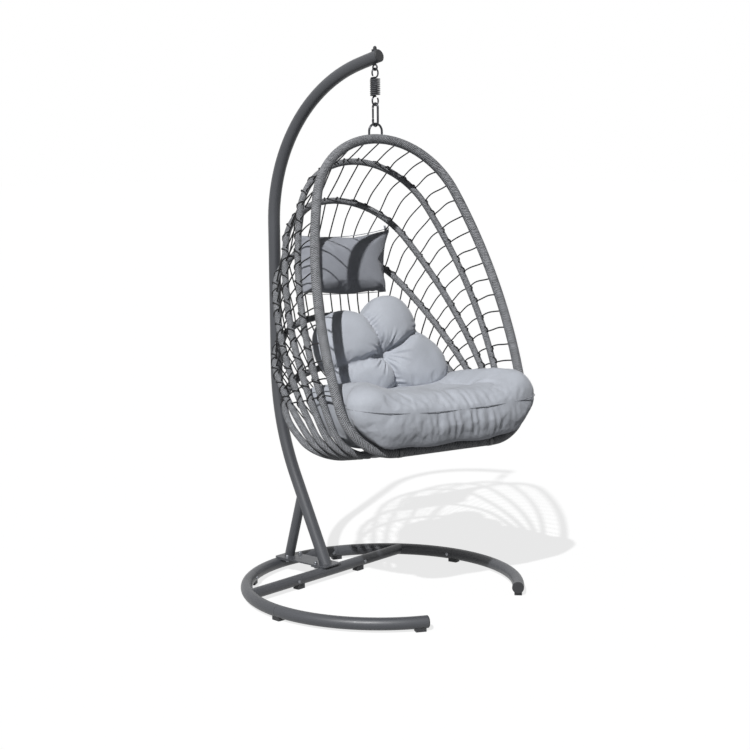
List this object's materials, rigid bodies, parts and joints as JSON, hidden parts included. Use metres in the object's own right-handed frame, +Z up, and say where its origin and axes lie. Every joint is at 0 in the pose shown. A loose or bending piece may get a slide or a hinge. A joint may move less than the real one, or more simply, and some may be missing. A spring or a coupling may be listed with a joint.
{
  "type": "hanging egg chair",
  "caption": "Egg-shaped corded basket with seat cushion and pillow, hung by a spring and snap hook from a bent pole on a C-shaped floor base.",
  "frame": {"origin": "point on the floor straight under the eye that the basket hangs from", "axes": "+Z up, the base's open front towards -Y, +X to the right seen from the front"},
  "size_m": [1.054, 1.0994, 1.9969],
  "materials": {
    "stand": "satin powder coat",
    "plastic": "fine grained",
    "fastener": "zinc plated",
    "hanger_steel": "dull zinc plated",
    "hoop_tube": "satin powder coat",
    "link": "satin powder coat",
    "rope": "round twisted rope",
    "cord": "round braided cord",
    "cushion": "plain polyester",
    "pillow": "plain polyester"
  },
  "bodies": {
    "stand": {"base_back_arc": "stand", "base_side_left": "stand", "base_side_right": "stand", "base_front_left": "stand", "base_front_right": "stand", "crossbar": "stand", "base_sleeves": "stand", "base_end_caps": "plastic", "base_screws": "fastener", "foot_pads": "plastic", "ring_tab": "stand", "crossbar_tab": "stand", "foot_plate": "stand", "plate_bolts": "fastener", "plate_nuts": "fastener", "strut": "stand", "pole_lower": "stand", "pole_upper": "stand", "pole_sleeve": "stand", "pole_screws": "fastener", "pole_cap": "plastic", "eyebolt": "hanger_steel", "eyebolt_nuts": "hanger_steel"},
    "spring": {"spring_top_hook": "hanger_steel", "spring_coil": "hanger_steel"},
    "spring_tail": {"spring_bottom_hook": "hanger_steel"},
    "snap_hook": {"snap_hook": "hanger_steel", "gate_pin": "hanger_steel"},
    "gate": {"snap_gate": "hanger_steel"},
    "basket": {"rim_loop": "hanger_steel", "rim": "hoop_tube", "rim_rope": "rope", "link_rim_a": "link", "cords_rim_a": "cord", "seat_cushion": "cushion", "back_cushion": "cushion", "head_pillow": "pillow", "pillow_ties": "pillow"},
    "rib_a": {"rib_a": "hoop_tube", "rib_a_rope": "rope", "link_a_b": "link", "cords_a_b": "cord"},
    "rib_b": {"rib_b": "hoop_tube", "rib_b_rope": "rope", "link_b_c": "link", "cords_b_c": "cord"},
    "rib_c": {"rib_c": "hoop_tube", "rib_c_rope": "rope", "link_c_d": "link", "cords_c_d": "cord"},
    "rib_d": {"rib_d": "hoop_tube", "rib_d_rope": "rope", "link_d_e": "link", "cords_d_e": "cord"},
    "rib_e": {"rib_e": "hoop_tube", "rib_e_rope": "rope", "seat_cords": "cord"}
  },
  "joints": [
    {"name": "fore_aft_swing", "type": "hinge", "parent": "stand", "child": "spring", "pos_m": [0, 0, 1.91815], "axis": [1, 0, 0], "range_deg": [-12, 2]},
    {"name": "spring_stretch", "type": "slide", "parent": "spring", "child": "spring_tail", "axis": [0, 0, -1], "range_m": [0, 0.025], "stiffness_N_per_m": 43400, "springref_m": -0.009, "deforming": ["spring_coil"]},
    {"name": "side_swing", "type": "hinge", "parent": "spring_tail", "child": "snap_hook", "pos_m": [0, 0, 1.79525], "axis": [0.284, 0.9588, 0], "range_deg": [-5, 5]},
    {"name": "basket_swivel", "type": "hinge", "parent": "snap_hook", "child": "basket", "pos_m": [0, 0, 1.72355], "axis": [0, 0, 1], "range_deg": [-35, 35]},
    {"name": "gate_hinge", "type": "hinge", "parent": "snap_hook", "child": "gate", "pos_m": [0.00454, 0.01534, 1.73625], "axis": [0.9588, -0.284, 0], "range_deg": [0, 22], "stiffness_Nm_per_rad": 0.06, "springref_deg": -20.05},
    {"name": "fold_a", "type": "hinge", "parent": "basket", "child": "rib_a", "pos_m": [-0.0918, -0.30992, 0.59438], "axis": [0.9588, -0.284, 0], "range_deg": [0, 3.8]},
    {"name": "fold_b", "type": "hinge", "parent": "rib_a", "child": "rib_b", "pos_m": [-0.0833, -0.28121, 0.58856], "axis": [0.9588, -0.284, 0], "range_deg": [0, 9.2], "deforming": ["seat_cushion", "back_cushion", "head_pillow", "cords_rim_a", "cords_a_b", "cords_b_c", "cords_c_d", "cords_d_e"]},
    {"name": "fold_c", "type": "hinge", "parent": "rib_b", "child": "rib_c", "pos_m": [-0.0748, -0.25251, 0.58274], "axis": [0.9588, -0.284, 0], "range_deg": [0, 9.2]},
    {"name": "fold_d", "type": "hinge", "parent": "rib_c", "child": "rib_d", "pos_m": [-0.06629, -0.2238, 0.57692], "axis": [0.9588, -0.284, 0], "range_deg": [0, 9.2]},
    {"name": "fold_e", "type": "hinge", "parent": "rib_d", "child": "rib_e", "pos_m": [-0.05779, -0.19509, 0.5711], "axis": [0.9588, -0.284, 0], "range_deg": [0, 9.2]}
  ],
  "couplings": [
    {"joint": "fold_a", "follows": "fold_b", "ratio": 0.41304},
    {"joint": "fold_c", "follows": "fold_b", "ratio": 1},
    {"joint": "fold_d", "follows": "fold_b", "ratio": 1},
    {"joint": "fold_e", "follows": "fold_b", "ratio": 1}
  ]
}
